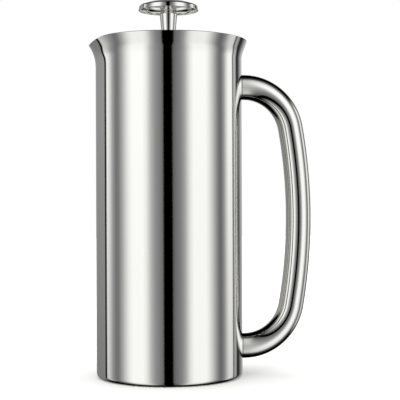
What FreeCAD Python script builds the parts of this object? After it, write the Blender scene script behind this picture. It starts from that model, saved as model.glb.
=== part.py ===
"""Insulated steel french press: double-walled pot with a pouring lip and a tube handle,
recessed lid with a strainer skirt, and a plunger with a palm knob and a mesh filter.

Frame, in millimetres: origin on the pot's axis at the plane it stands on, +Z up the axis,
the handle towards +X and the pouring lip towards -X. The plunger is pushed right down.
"""

import FreeCAD
import Part
import math
import os

V = FreeCAD.Vector
UP = V(0, 0, 1)

# Driving dimensions -----------------------------------------------------------------------

# Pot wall: outer shell and inner liner, with the evacuated gap between them
shell_radius = 54.0
pot_height = 248.0
sheet = 0.8
vacuum_gap = 5.9

# Flared rim, and the pouring lip drawn out of it
flare_height = 14.5
flare_bend_radius = 19.0
flare_angle = 21.0
lip_height = 20.0
lip_bend_radius = 28.0
lip_half_angle = 36.0
lip_dip = 3.2

# Liner: joggle from the flare down to the bore, and the rounded floor
joggle_angle = 70.0
floor_height = 10.4
floor_bend_radius = 8.0

# Foot of the shell, and the plates that close it
foot_bend_radius = 3.5
foot_flange_width = 3.5
cap_emboss_margin = 16.5
cap_emboss_slope = 5.0
cap_gap = 0.2
vacuum_bottom_bend_radius = 3.0
vacuum_bottom_skirt = 6.0
seal_hole_radius = 1.2
seal_bead_radius = 4.0
seal_bead_depth = 1.6
getter_radius = 5.0
getter_thickness = 1.6
getter_offset = 22.0

# Handle: a bent tube welded to the shell
tube_radius = 9.4
tube_wall = 1.2
handle_top_drop = 33.1
handle_bottom_height = 20.7
finger_gap = 36.7
grip_bow_radius = 375.0
handle_bend_radius = 36.4
weld_width = 1.1
weld_proud = 0.35

# Lid: steel cover over a moulded liner with a strainer skirt and a gasket
lid_recess = 10.0
seat_clearance = 0.3
cover_land_radius = 10.0
cover_dome_radius = 143.0
cover_edge_bend_radius = 1.5
cover_edge_drop = 1.5
moulding_wall = 1.8
skirt_wall = 1.6
skirt_clearance = 0.9
skirt_depth = 28.4
boss_radius = 9.0
slot_count = 11
slot_pitch_angle = 6.0
slot_width = 2.2
slot_height = 7.0
slot_drop = 2.0
gasket_height = 6.0
gasket_land = 3.0
gasket_groove_depth = 0.7
gasket_clearance = 0.3
gasket_lip_depth = 0.5

# Guide bush and its nut, in the middle of the lid
bush_wall = 2.3
bush_flange_radius = 8.0
bush_flange_thickness = 1.2
bush_length = 16.0
running_clearance = 0.08
turning_gap = 0.1
bush_nut_across_flats = 15.0
bush_nut_thickness = 4.0

# Plunger rod and knob
rod_radius = 3.0
rod_tip_radius = 2.5
knob_radius = 22.3
knob_shoulder_radius = 21.8
knob_band_height = 2.2
knob_edge_radius = 1.7
knob_crown = 4.0
knob_lip_wall = 0.9
knob_hollow_depth = 3.0
knob_hollow_fillet = 1.4
knob_rise = 30.0
boss_drop = 1.0
boss_dome_radius = 5.85
neck_bottom_radius = 4.7
neck_top_radius = 6.55
neck_chamfer = 1.4
neck_gap = 0.3
rod_thread_depth = 4.0

# Filter: spring plate, edge spring, woven screen and cross plate on the rod's tip
filter_standoff = 14.0
wiper_clearance = 0.3
screen_thickness = 0.3
screen_skirt = 4.3
spring_coil_radius = 1.5
spring_plate_rim = 2.8
plate_edge_clearance = 0.15
hub_collar_radius = 5.0
hub_collar_height = 6.0
window_count = 6
window_inner_radius = 12.0
window_rim = 7.7
window_web = 8.0
cross_plate_edge_gap = 2.5
cross_hole_radius = 2.4
cross_hole_rings = ((0.34, 8), (0.55, 14), (0.76, 20))
hub_nut_across_flats = 12.0
hub_nut_height = 6.0
rod_tip_length = 2.0

# Sizes that follow from them --------------------------------------------------------------

liner_bore = shell_radius - 2 * sheet - vacuum_gap
lip_start = pot_height - lip_height
joggle_radius = vacuum_gap / (2 * (1 - math.cos(math.radians(joggle_angle))))
bore_top = lip_start - 2 * joggle_radius * math.sin(math.radians(joggle_angle))
flange_inner_radius = shell_radius - foot_bend_radius - foot_flange_width
cap_emboss_radius = flange_inner_radius - cap_emboss_margin
vacuum_bottom_height = 3 * sheet + cap_gap + seal_bead_depth

handle_top_height = pot_height - handle_top_drop
handle_reach = shell_radius + finger_gap + tube_radius
grip_height = (handle_top_height + handle_bottom_height) / 2

cover_edge_height = pot_height - lid_recess
skirt_radius = liner_bore - skirt_clearance
skirt_bottom = cover_edge_height - skirt_depth
bush_bore = rod_radius + running_clearance
bush_radius = bush_bore + bush_wall
lid_hole_radius = bush_radius + running_clearance

screen_radius = liner_bore - wiper_clearance
cross_plate_bottom = floor_height + filter_standoff
screen_bottom = cross_plate_bottom + sheet
spring_plate_bottom = screen_bottom + screen_thickness
screen_top = screen_bottom + screen_skirt
spring_ring_radius = screen_radius - screen_thickness - spring_coil_radius
spring_plate_radius = spring_ring_radius - spring_coil_radius - plate_edge_clearance
window_outer_radius = spring_plate_radius - window_rim
collar_top = spring_plate_bottom + hub_collar_height
plunger_travel = skirt_bottom - screen_top - 1.0


# Helpers ----------------------------------------------------------------------------------


class Bend:
    """An arc of a turned outline, about (centre_r, centre_z), from one angle to another in degrees."""

    def __init__(self, centre, radius, start, end):
        self.centre, self.radius, self.start, self.end = centre, radius, start, end

    def at(self, degrees):
        a = math.radians(degrees)
        return (
            self.centre[0] + self.radius * math.cos(a),
            self.centre[1] + self.radius * math.sin(a),
        )


def outline(*steps):
    """A closed wire in the XZ plane through (r, z) points and Bends, in order."""

    def place(p):
        return V(p[0], 0, p[1])

    edges, here, first = [], None, None
    for step in steps:
        entry = step.at(step.start) if isinstance(step, Bend) else step
        if here is None:
            first = entry
        elif math.dist(here, entry) > 1e-6:
            edges.append(Part.makeLine(place(here), place(entry)))
        here = entry
        if isinstance(step, Bend):
            middle, end = step.at((step.start + step.end) / 2), step.at(step.end)
            edges.append(Part.Arc(place(entry), place(middle), place(end)).toShape())
            here = end
    if math.dist(here, first) > 1e-6:
        edges.append(Part.makeLine(place(here), place(first)))
    return Part.Wire(edges)


def turned(*steps):
    """The solid that an outline makes when it turns about the pot's axis."""
    return Part.Face(outline(*steps)).revolve(V(0, 0, 0), UP, 360)


def cylinder(radius, bottom, top):
    return Part.makeCylinder(radius, top - bottom, V(0, 0, bottom))


def tube(outer, inner, bottom, top):
    return cylinder(outer, bottom, top).cut(cylinder(inner, bottom, top))


def around(shape, count, start=0.0, pitch=None):
    """Copies of a shape turned about the axis, as a list."""
    pitch = 360.0 / count if pitch is None else pitch
    copies = []
    for i in range(count):
        copy = shape.copy()
        copy.rotate(V(0, 0, 0), UP, start + i * pitch)
        copies.append(copy)
    return copies


def hexagon(across_flats, bottom, height):
    """A hexagonal bar about the axis."""
    corner = across_flats / math.sqrt(3)
    points = [
        V(corner * math.cos(math.radians(60 * i)), corner * math.sin(math.radians(60 * i)), bottom)
        for i in range(7)
    ]
    return Part.Face(Part.makePolygon(points)).extrude(V(0, 0, height))


# The flared wall --------------------------------------------------------------------------


def flare_radius(z):
    """Outer radius of the plain rim: straight, then an arc, then a cone."""
    rise = z - (pot_height - flare_height)
    turn = math.radians(flare_angle)
    if rise <= 0:
        return shell_radius
    if rise < flare_bend_radius * math.sin(turn):
        return shell_radius + flare_bend_radius - math.sqrt(flare_bend_radius**2 - rise**2)
    bent = flare_bend_radius * (1 - math.cos(turn))
    return shell_radius + bent + (rise - flare_bend_radius * math.sin(turn)) * math.tan(turn)


def lip_radius(z):
    """Outer radius down the middle of the pouring lip: one arc that starts straight up."""
    rise = max(0.0, z - lip_start)
    return shell_radius + lip_bend_radius - math.sqrt(lip_bend_radius**2 - rise**2)


def lip_share(degrees):
    """1 in the middle of the lip, at 180 degrees, falling smoothly to 0 at its edges."""
    away = abs(degrees - 180.0) / lip_half_angle
    return (1 - away * away) ** 3 if away < 1 else 0.0


def wall_radius(degrees, z, inset=0.0):
    """Radius of the rim wall at an angle and height, taken in along its normal by inset."""

    def outer(height):
        plain = flare_radius(height)
        return plain + lip_share(degrees) * (lip_radius(height) - plain)

    slope = (outer(z + 0.01) - outer(z - 0.01)) / 0.02
    return outer(z) - inset * math.sqrt(1 + slope * slope)


def wall_section(z, inset):
    """A closed smooth wire round the rim wall at one height."""
    count = 48
    points = []
    for i in range(count):
        a = 360.0 * i / count
        r = wall_radius(a, z, inset)
        points.append(V(r * math.cos(math.radians(a)), r * math.sin(math.radians(a)), z))
    curve = Part.BSplineCurve()
    curve.interpolate(Points=points, PeriodicFlag=True)
    return Part.Wire([curve.toShape()])


def rim_solid(inset):
    """Everything inside the rim wall, from where the lip starts to just over the rim."""
    levels = 10
    top = pot_height + 1.5
    start = Part.Wire([Part.makeCircle(shell_radius - inset, V(0, 0, lip_start))])
    heights = [lip_start + (top - lip_start) * i / levels for i in range(1, levels + 1)]
    return Part.makeLoft([start] + [wall_section(z, inset) for z in heights], True, False)


def above_rim():
    """What is cut off over the rim: level, but dipping along the lip."""
    reach, steps = 4 * shell_radius, 12
    points = []
    for i in range(steps + 1):
        away = lip_half_angle * (1 - i / steps)
        r = wall_radius(180.0 - away, pot_height)
        height = pot_height - lip_dip * lip_share(180.0 - away)
        points.append(V(-r * math.cos(math.radians(away)), -reach, height))
    crest = Part.BSplineCurve()
    crest.interpolate(Points=points)
    level, high = pot_height, pot_height + lip_height
    corners = [points[-1], V(-reach, -reach, points[-1].z), V(-reach, -reach, high)]
    corners += [V(reach, -reach, high), V(reach, -reach, level), points[0]]
    edges = [crest.toShape()] + [Part.makeLine(a, b) for a, b in zip(corners, corners[1:])]
    return Part.Face(Part.Wire(edges)).extrude(V(0, 2 * reach, 0))


def rim_ring(outer_inset, inner_inset):
    """The rim wall between two depths, trimmed to the rim's height."""
    return rim_solid(outer_inset).cut(rim_solid(inner_inset)).cut(above_rim())


# Pot --------------------------------------------------------------------------------------


def outer_shell():
    """Drawn tube with a rounded foot, turned in to a flange that the pot stands on."""
    centre = (shell_radius - foot_bend_radius, foot_bend_radius)
    wall = turned(
        (flange_inner_radius, 0),
        Bend(centre, foot_bend_radius, -90, 0),
        (shell_radius, lip_start),
        (shell_radius - sheet, lip_start),
        Bend(centre, foot_bend_radius - sheet, 0, -90),
        (flange_inner_radius, sheet),
    )
    return wall.fuse(rim_ring(0, sheet))


def inner_liner():
    """Flask with a rounded floor, joggled out under the rim to meet the shell."""
    neck = shell_radius - 2 * sheet
    upper = (neck - joggle_radius, lip_start)
    lower = (liner_bore + joggle_radius, bore_top)
    corner = (liner_bore - floor_bend_radius, floor_height + floor_bend_radius)
    flask = turned(
        (neck + sheet, lip_start),
        Bend(upper, joggle_radius + sheet, 0, -joggle_angle),
        Bend(lower, joggle_radius - sheet, 180 - joggle_angle, 180),
        Bend(corner, floor_bend_radius + sheet, 0, -90),
        (0, floor_height - sheet),
        (0, floor_height),
        Bend(corner, floor_bend_radius, -90, 0),
        Bend(lower, joggle_radius, 180, 180 - joggle_angle),
        Bend(upper, joggle_radius, -joggle_angle, 0),
    )
    return flask.fuse(rim_ring(sheet, 2 * sheet))


def vacuum_bottom():
    """Dished plate that closes the evacuated gap, with the hole it is pumped through."""
    radius, low = shell_radius - sheet, vacuum_bottom_height
    centre = (radius - vacuum_bottom_bend_radius, low + vacuum_bottom_bend_radius)
    return turned(
        (seal_hole_radius, low),
        Bend(centre, vacuum_bottom_bend_radius, -90, 0),
        (radius, low + vacuum_bottom_skirt),
        (radius - sheet, low + vacuum_bottom_skirt),
        Bend(centre, vacuum_bottom_bend_radius - sheet, 0, -90),
        (seal_hole_radius, low + sheet),
    )


def seal_bead():
    """Solder glass that plugs the pumping hole, in a low dome on the plate's underside."""
    low = vacuum_bottom_height
    dome = (seal_bead_radius**2 + seal_bead_depth**2) / (2 * seal_bead_depth)
    edge = math.degrees(math.acos(seal_bead_radius / dome))
    return turned(
        (0, low + sheet),
        (seal_hole_radius, low + sheet),
        (seal_hole_radius, low),
        Bend((0, low - seal_bead_depth + dome), dome, -edge, -90),
    )


def getter():
    """Pill in the evacuated gap that soaks up the last gas."""
    base = V(0, getter_offset, vacuum_bottom_height + sheet)
    return Part.makeCylinder(getter_radius, getter_thickness, base)


def base_cap():
    """Cover plate lying on the foot flange, embossed upwards in the middle."""
    outer, low = shell_radius - foot_bend_radius, sheet
    slope = cap_emboss_radius + cap_emboss_slope
    return turned(
        (0, low + sheet),
        (cap_emboss_radius, low + sheet),
        (slope, low),
        (outer, low),
        (outer, low + sheet),
        (slope, low + sheet),
        (cap_emboss_radius, low + 2 * sheet),
        (0, low + 2 * sheet),
    )


# Handle -----------------------------------------------------------------------------------


def handle_path():
    """Centreline: level from the wall, a bend, the long bowed grip, a bend, back to the wall."""
    bow_x = handle_reach - grip_bow_radius
    wall_x = shell_radius / 2

    def corner(height, side):
        """Centre of an end bend, and the angle at which it runs into the grip."""
        centre_z = height - side * handle_bend_radius
        reach = grip_bow_radius - handle_bend_radius
        centre_x = bow_x + math.sqrt(reach**2 - (centre_z - grip_height) ** 2)
        return (centre_x, centre_z), math.degrees(math.asin((centre_z - grip_height) / reach))

    top, top_angle = corner(handle_top_height, 1)
    low, low_angle = corner(handle_bottom_height, -1)
    bends = [
        Bend(top, handle_bend_radius, 90, top_angle),
        Bend((bow_x, grip_height), grip_bow_radius, top_angle, low_angle),
        Bend(low, handle_bend_radius, low_angle, -90),
    ]

    def place(p):
        return V(p[0], 0, p[1])

    edges = [Part.makeLine(V(wall_x, 0, handle_top_height), place(bends[0].at(90)))]
    for b in bends:
        middle = b.at((b.start + b.end) / 2)
        edges.append(Part.Arc(place(b.at(b.start)), place(middle), place(b.at(b.end))).toShape())
    edges.append(Part.makeLine(place(bends[-1].at(-90)), V(wall_x, 0, handle_bottom_height)))
    return Part.Wire(edges)


def handle_bar(radius):
    """A solid bar of round section along the handle's centreline."""
    path = handle_path()
    start = path.Edges[0].firstVertex().Point
    section = Part.Wire([Part.makeCircle(radius, start, V(1, 0, 0))])
    return path.makePipeShell([section], True, False)


def handle_tube():
    """Bent hollow tube, with both ends cut to sit against the round wall."""
    pipe = handle_bar(tube_radius).cut(handle_bar(tube_radius - tube_wall))
    return pipe.cut(cylinder(shell_radius + weld_width, 0, pot_height))


def handle_weld(upper):
    """Weld bead between one end of the tube and the shell."""
    bead = handle_bar(tube_radius + weld_proud).cut(handle_bar(tube_radius - tube_wall))
    near = tube(shell_radius + weld_width, shell_radius, 0, pot_height)
    size = 4 * tube_radius
    height = handle_top_height if upper else handle_bottom_height
    corner = V(0, -size / 2, height - size / 2)
    return bead.common(near).common(Part.makeBox(2 * shell_radius, size, size, corner))


# Lid --------------------------------------------------------------------------------------


def cover_edge_radius():
    """The cover's edge rests inside the flare, a little clear of it."""
    return wall_radius(0.0, cover_edge_height, 2 * sheet) - seat_clearance


def cover_angle():
    """How far the dome has turned from level, in degrees, where its edge bend begins."""
    span = cover_edge_radius() - cover_edge_bend_radius - cover_land_radius
    return math.degrees(math.asin(span / (cover_dome_radius - cover_edge_bend_radius)))


def cover_top():
    """Height of the flat land in the middle of the cover."""
    fall = (cover_dome_radius - cover_edge_bend_radius) * math.cos(math.radians(cover_angle()))
    return cover_edge_height + cover_edge_drop + cover_dome_radius - fall


def lid_cover():
    """Domed steel pressing with a flat land for the bush and a turned-down edge."""
    edge, top, turn = cover_edge_radius(), cover_top(), 90 - cover_angle()
    dome = (cover_land_radius, top - cover_dome_radius)
    rolled = (edge - cover_edge_bend_radius, cover_edge_height + cover_edge_drop)
    return turned(
        (lid_hole_radius, top),
        Bend(dome, cover_dome_radius, 90, turn),
        Bend(rolled, cover_edge_bend_radius, turn, 0),
        (edge, cover_edge_height),
        (edge - sheet, cover_edge_height),
        Bend(rolled, cover_edge_bend_radius - sheet, 0, turn),
        Bend(dome, cover_dome_radius - sheet, turn, 90),
        (lid_hole_radius, top - sheet),
    )


def gasket_span():
    """Lowest and highest point of the gasket's groove in the skirt."""
    low = skirt_bottom + gasket_land
    return low, low + gasket_height


def lid_liner():
    """Moulded underside of the lid: plate, central boss, and skirt with strainer slots."""
    low, high = cover_edge_height, cover_edge_height + moulding_wall
    edge = cover_edge_radius() - sheet - seat_clearance / 3
    groove = skirt_radius - gasket_groove_depth
    groove_low, groove_high = gasket_span()
    body = turned(
        (lid_hole_radius, cover_top() - sheet),
        (boss_radius, cover_top() - sheet),
        (boss_radius, high),
        (edge, high),
        (edge, low),
        (skirt_radius, low),
        (skirt_radius, groove_high),
        (groove, groove_high),
        (groove, groove_low),
        (skirt_radius, groove_low),
        (skirt_radius, skirt_bottom),
        (skirt_radius - skirt_wall, skirt_bottom),
        (skirt_radius - skirt_wall, low - moulding_wall),
        (lid_hole_radius, low - moulding_wall),
    )
    top = low - moulding_wall - slot_drop
    size = V(4 * skirt_wall, slot_width, slot_height)
    corner = V(skirt_radius - 2.5 * skirt_wall, -slot_width / 2, top - slot_height)
    slot = Part.makeBox(size.x, size.y, size.z, corner)
    first = 180.0 - slot_pitch_angle * (slot_count - 1) / 2
    return body.cut(around(slot, slot_count, first, slot_pitch_angle))


def lid_gasket():
    """Silicone ring in the skirt's groove, with two wiping lips towards the bore."""
    low, high = gasket_span()
    low, high = low + gasket_clearance, high - gasket_clearance
    inner = skirt_radius - gasket_groove_depth + gasket_clearance
    crest = liner_bore - gasket_clearance
    root = crest - gasket_lip_depth
    step = (high - low) / 4
    return turned(
        (inner, low),
        (root, low),
        (crest, low + step),
        (root, low + 2 * step),
        (crest, low + 3 * step),
        (root, high),
        (inner, high),
    )


def guide_bush():
    """Flanged plastic bush that the rod slides in."""
    flange = cover_top() + turning_gap
    top = flange + bush_flange_thickness
    return turned(
        (bush_bore, flange - bush_length),
        (bush_radius, flange - bush_length),
        (bush_radius, flange),
        (bush_flange_radius, flange),
        (bush_flange_radius, top - bush_flange_thickness / 2),
        (bush_flange_radius - bush_flange_thickness / 2, top),
        (bush_bore, top),
    )


def bush_nut():
    """Hexagonal nut under the lid that keeps the bush in."""
    top = cover_edge_height - moulding_wall - turning_gap
    bottom = top - bush_nut_thickness
    nut = hexagon(bush_nut_across_flats, bottom, bush_nut_thickness)
    return nut.cut(cylinder(bush_radius, bottom, top))


# Plunger ----------------------------------------------------------------------------------


def neck_bottom():
    """The neck stops on the guide bush when the plunger is right down."""
    return cover_top() + turning_gap + bush_flange_thickness + neck_gap


def knob_lip():
    """Height of the knob's lower lip."""
    return neck_bottom() + knob_rise - knob_crown - knob_edge_radius - knob_band_height


def boss_bottom():
    """Height where the knob's domed boss meets the neck."""
    return knob_lip() - boss_drop


def knob_disc():
    """Palm disc: crowned top, slightly tapered band, hollow underside and a domed boss."""
    lip, boss_low = knob_lip(), boss_bottom()
    shoulder = (knob_shoulder_radius - knob_edge_radius, lip + knob_band_height)
    crown = (shoulder[0] ** 2 + knob_crown**2) / (2 * knob_crown)
    apex = shoulder[1] + knob_edge_radius + knob_crown
    turn = math.degrees(math.asin(shoulder[0] / crown))
    inner, ceiling = knob_radius - knob_lip_wall, lip + knob_hollow_depth
    fillet = (inner - knob_hollow_fillet, ceiling - knob_hollow_fillet)
    boss_turn = math.degrees(math.asin((ceiling - boss_low) / boss_dome_radius))
    return turned(
        (0, apex),
        Bend((0, apex - crown), crown, 90, 90 - turn),
        Bend(shoulder, knob_edge_radius, 90, 0),
        (knob_radius, lip),
        (inner, lip),
        Bend(fillet, knob_hollow_fillet, 0, 90),
        Bend((0, boss_low), boss_dome_radius, boss_turn, 0),
        (rod_radius, boss_low),
        (rod_radius, boss_low + rod_thread_depth),
        (0, boss_low + rod_thread_depth),
    )


def knob_neck():
    """Tapered sleeve between the knob's boss and the lid, chamfered at its top."""
    low, high = neck_bottom(), boss_bottom()
    return turned(
        (rod_radius, low),
        (neck_bottom_radius - 0.5, low),
        (neck_bottom_radius, low + 0.5),
        (neck_top_radius, high - neck_chamfer),
        (boss_dome_radius, high),
        (rod_radius, high),
    )


def plunger_rod():
    """Polished rod: screwed into the knob's boss, stepped down to a threaded tip."""
    top, bottom = boss_bottom() + rod_thread_depth, cross_plate_bottom - hub_nut_height - rod_tip_length
    tip_chamfer = rod_tip_radius / 5
    return turned(
        (0, bottom),
        (rod_tip_radius - tip_chamfer, bottom),
        (rod_tip_radius, bottom + tip_chamfer),
        (rod_tip_radius, collar_top),
        (rod_radius, collar_top),
        (rod_radius, top),
        (0, top),
    )


def spring_plate():
    """Pressed plate with a rim for the edge spring, a drawn collar and open windows."""
    low = spring_plate_bottom
    plate = turned(
        (rod_tip_radius, low),
        (spring_plate_radius, low),
        (spring_plate_radius, low + spring_plate_rim),
        (spring_plate_radius - sheet, low + spring_plate_rim),
        (spring_plate_radius - sheet, low + sheet),
        (hub_collar_radius + sheet, low + sheet),
        (hub_collar_radius, low + 2 * sheet),
        (hub_collar_radius, collar_top),
        (rod_tip_radius, collar_top),
    )
    ring = tube(window_outer_radius, window_inner_radius, low - sheet, low + 2 * sheet)
    web = Part.makeBox(shell_radius, window_web, 4 * sheet, V(0, -window_web / 2, low - 1.5 * sheet))
    return plate.cut(ring.cut(around(web, window_count)))


def edge_spring():
    """Garter spring round the spring plate, as the ring that its coils fill."""
    centre = V(0, 0, spring_plate_bottom + spring_coil_radius)
    return Part.makeTorus(spring_ring_radius, spring_coil_radius, centre)


def mesh_screen():
    """Woven steel screen, with its edge turned up outside the spring."""
    low, high = screen_bottom, screen_bottom + screen_thickness
    return turned(
        (rod_tip_radius, low),
        (screen_radius, low),
        (screen_radius, screen_top),
        (screen_radius - screen_thickness, screen_top),
        (screen_radius - screen_thickness, high),
        (rod_tip_radius, high),
    )


def cross_plate():
    """Bottom plate with rings of round holes, which backs the screen."""
    radius = liner_bore - cross_plate_edge_gap
    low, high = cross_plate_bottom, cross_plate_bottom + sheet
    holes = []
    for share, count in cross_hole_rings:
        hole = Part.makeCylinder(cross_hole_radius, 3 * sheet, V(share * radius, 0, low - sheet))
        holes += around(hole, count)
    return tube(radius, rod_tip_radius, low, high).cut(holes)


def hub_nut():
    """Hexagonal nut on the rod's tip that clamps the filter together."""
    low = cross_plate_bottom - hub_nut_height
    nut = hexagon(hub_nut_across_flats, low, hub_nut_height)
    return nut.cut(cylinder(rod_tip_radius, low, cross_plate_bottom))


# Build ------------------------------------------------------------------------------------

nodes = {
    "outer_shell": outer_shell(),
    "inner_liner": inner_liner(),
    "vacuum_bottom": vacuum_bottom(),
    "seal_bead": seal_bead(),
    "getter": getter(),
    "base_cap": base_cap(),
    "handle_tube": handle_tube(),
    "upper_handle_weld": handle_weld(True),
    "lower_handle_weld": handle_weld(False),
    "lid_gasket": lid_gasket(),
    "lid_cover": lid_cover(),
    "lid_liner": lid_liner(),
    "guide_bush": guide_bush(),
    "bush_nut": bush_nut(),
    "knob_disc": knob_disc(),
    "knob_neck": knob_neck(),
    "plunger_rod": plunger_rod(),
    "spring_plate": spring_plate(),
    "edge_spring": edge_spring(),
    "mesh_screen": mesh_screen(),
    "cross_plate": cross_plate(),
    "hub_nut": hub_nut(),
}

os.makedirs("parts", exist_ok=True)
for name, shape in nodes.items():
    shape.exportStep(f"parts/{name}.step")
    print(f"{name:18s} valid {shape.isValid()}  solids {len(shape.Solids)}  {shape.Volume:10.1f} mm3")
print(f"plunger travel {plunger_travel:.1f} mm, cover land at {cover_top():.1f} mm")
print(f"bore {liner_bore:.1f} mm from {floor_height:.1f} to {bore_top:.1f} mm")
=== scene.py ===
# %% [markdown]
# # An insulated steel coffee press
#
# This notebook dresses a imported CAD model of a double-walled press. The CAD gives every piece its
# size, its place and its joint; here each visible piece gets a smooth surface worked out from a
# formula, and a finish made of shader nodes. The press stands upright on the origin, its handle
# towards +X and its pouring lip towards -X. Lengths in the formulas are millimetres, because that
# is how a tinsmith would note them, and they become metres only when a mesh is made.

# %% Load the frame
import math

import bpy
import numpy as np
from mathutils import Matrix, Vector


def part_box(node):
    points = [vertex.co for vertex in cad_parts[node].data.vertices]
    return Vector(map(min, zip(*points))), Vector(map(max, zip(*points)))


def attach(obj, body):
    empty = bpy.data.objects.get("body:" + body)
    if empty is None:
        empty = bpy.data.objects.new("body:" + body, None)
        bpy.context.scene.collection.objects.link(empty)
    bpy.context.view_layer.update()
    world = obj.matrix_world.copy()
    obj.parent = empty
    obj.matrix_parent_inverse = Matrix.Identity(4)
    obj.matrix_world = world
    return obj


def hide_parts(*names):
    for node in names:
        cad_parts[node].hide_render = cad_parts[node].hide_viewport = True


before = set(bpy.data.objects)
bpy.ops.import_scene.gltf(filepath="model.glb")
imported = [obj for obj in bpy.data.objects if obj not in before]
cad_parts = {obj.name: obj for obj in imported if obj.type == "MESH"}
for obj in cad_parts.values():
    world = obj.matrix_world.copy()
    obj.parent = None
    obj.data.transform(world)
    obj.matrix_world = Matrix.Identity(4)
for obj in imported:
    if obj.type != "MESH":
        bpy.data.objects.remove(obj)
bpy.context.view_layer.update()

MM = 0.001

# %% [markdown]
# ## Sizes read from the frame
#
# A piece has to sit exactly where its CAD node sits, so the sizes that a box can tell are read from
# the nodes' boxes. `edge` turns a box into millimetres, and the names below are the heights and
# radii that several pieces share.


# %% Read the sizes
def edge(node, end, axis):
    """One side of a node's box in millimetres: end 0 is its lowest corner, 1 its highest."""
    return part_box(node)[end][axis] / MM


X, Y, Z = 0, 1, 2
SHEET, FOOT, SCREEN_GAP = 0.8, 3.5, 0.3
SHELL = edge("base_cap", 1, X) + FOOT
RIM = edge("outer_shell", 1, Z)
BORE = edge("mesh_screen", 1, X) + SCREEN_GAP
FLOOR = edge("inner_liner", 0, Z) + SHEET
ROD = edge("plunger_rod", 1, X)
print(f"shell {SHELL:.1f}, rim {RIM:.1f}, bore {BORE:.1f}, floor {FLOOR:.1f}, rod {ROD:.1f} mm")

# %% [markdown]
# ## From numbers to a mesh
#
# Nearly every piece here is a grid: rows of points along a profile or a path, and columns round it.
# One function turns such a grid into a mesh. It joins the last column to the first, can join the
# last row to the first, and closes a row that has shrunk to one point as a pole, so no hole is
# left. Writing whole arrays with `foreach_set` is many times quicker than adding one vertex at a
# time, and the signed volume tells at once whether the faces point outwards.


# %% Mesh helpers
def signed_volume(points, triangles):
    """Sum of a . (b x c) / 6 over all triangles: positive when the faces point outwards."""
    a, b, c = (points[triangles[:, k]] for k in range(3))
    return float(np.einsum("ij,ij->i", a, np.cross(b, c)).sum() / 6)


def make_piece(name, points, faces, sharp=35.0):
    """A smooth-shaded object from points in millimetres and a list of (n, 3) or (n, 4) arrays."""
    faces = [f for f in faces if len(f)]
    triangles = np.concatenate([f[:, [0, k, k + 1]] for f in faces
                                for k in range(1, f.shape[1] - 1)])
    used, renumbered = np.unique(np.concatenate([f.ravel() for f in faces]), return_inverse=True)
    volume = signed_volume(points, triangles)
    if volume < 0:
        faces = [f[:, ::-1] for f in faces]
        renumbered = np.unique(np.concatenate([f.ravel() for f in faces]), return_inverse=True)[1]
    sizes = np.concatenate([np.full(len(f), f.shape[1]) for f in faces])
    mesh = bpy.data.meshes.new(name)
    mesh.vertices.add(len(used))
    mesh.vertices.foreach_set("co", (points[used] * MM).astype(np.float32).ravel())
    mesh.loops.add(len(renumbered))
    mesh.loops.foreach_set("vertex_index", renumbered.astype(np.int32).ravel())
    mesh.polygons.add(len(sizes))
    mesh.polygons.foreach_set("loop_start", (np.cumsum(sizes) - sizes).astype(np.int32))
    mesh.update(calc_edges=True)
    mesh.validate()
    mesh.shade_smooth()
    mesh.set_sharp_from_angle(angle=math.radians(sharp))
    piece = bpy.data.objects.new(name, mesh)
    bpy.context.scene.collection.objects.link(piece)
    print(f"{name}: {len(triangles)} triangles, {abs(volume) / 1000:.2f} cm3")
    return piece


def grid_faces(rows, cols, wrap_rows, wrap_cols, first=0):
    """Quads between neighbouring rows and columns, as an (n, 4) array of point numbers."""
    number = first + np.arange(rows * cols).reshape(rows, cols)
    if wrap_cols:
        number = np.hstack([number, number[:, :1]])
    if wrap_rows:
        number = np.vstack([number, number[:1]])
    corners = number[:-1, :-1], number[:-1, 1:], number[1:, 1:], number[1:, :-1]
    return np.stack(corners, axis=-1).reshape(-1, 4)


def grid_piece(name, grid, wrap_rows=False, wrap_cols=True, sharp=35.0):
    """A piece from a (rows, columns, 3) grid. A row that is all one point becomes a pole."""
    rows, cols = grid.shape[:2]
    quads = grid_faces(rows, cols, wrap_rows, wrap_cols)
    pole = np.ptp(grid, axis=1).max(axis=1) < 1e-7
    numbers = np.arange(rows * cols)
    numbers = np.where(pole[numbers // cols], numbers - numbers % cols, numbers)
    quads = numbers[quads]
    low, high = quads[:, 0] == quads[:, 1], quads[:, 2] == quads[:, 3]
    faces = [quads[~low & ~high], quads[low & ~high][:, [0, 2, 3]],
             quads[high & ~low][:, [0, 1, 2]]]
    return make_piece(name, grid.reshape(-1, 3), faces, sharp)


# %% [markdown]
# ## Profiles
#
# A turned piece begins as an outline in the plane of radius and height. Real sheet and real
# mouldings have no razor edges: each corner is eased a little, and that small curve is what
# catches the light. `eased` does it for a whole outline at once. `spaced` then puts extra points on
# the long straight runs, because smooth shading blends the normals across a face, and a short face
# beside a bend keeps that blend where it belongs.


# %% Outline helpers
def arc(centre, radius, start, end, step=4.0):
    """Points on a circle about centre from one angle to another in degrees, both ends included."""
    turn = np.radians(np.linspace(start, end, max(2, int(abs(end - start) / step) + 2)))
    return np.column_stack([centre[0] + radius * np.cos(turn), centre[1] + radius * np.sin(turn)])


def joined(*parts):
    """One outline from single (r, z) points and arrays of them, without repeated points."""
    points = np.vstack([np.atleast_2d(np.asarray(p, dtype=float)) for p in parts])
    apart = np.linalg.norm(np.diff(points, axis=0), axis=1) > 1e-6
    return points[np.concatenate([[True], apart])]


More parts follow.
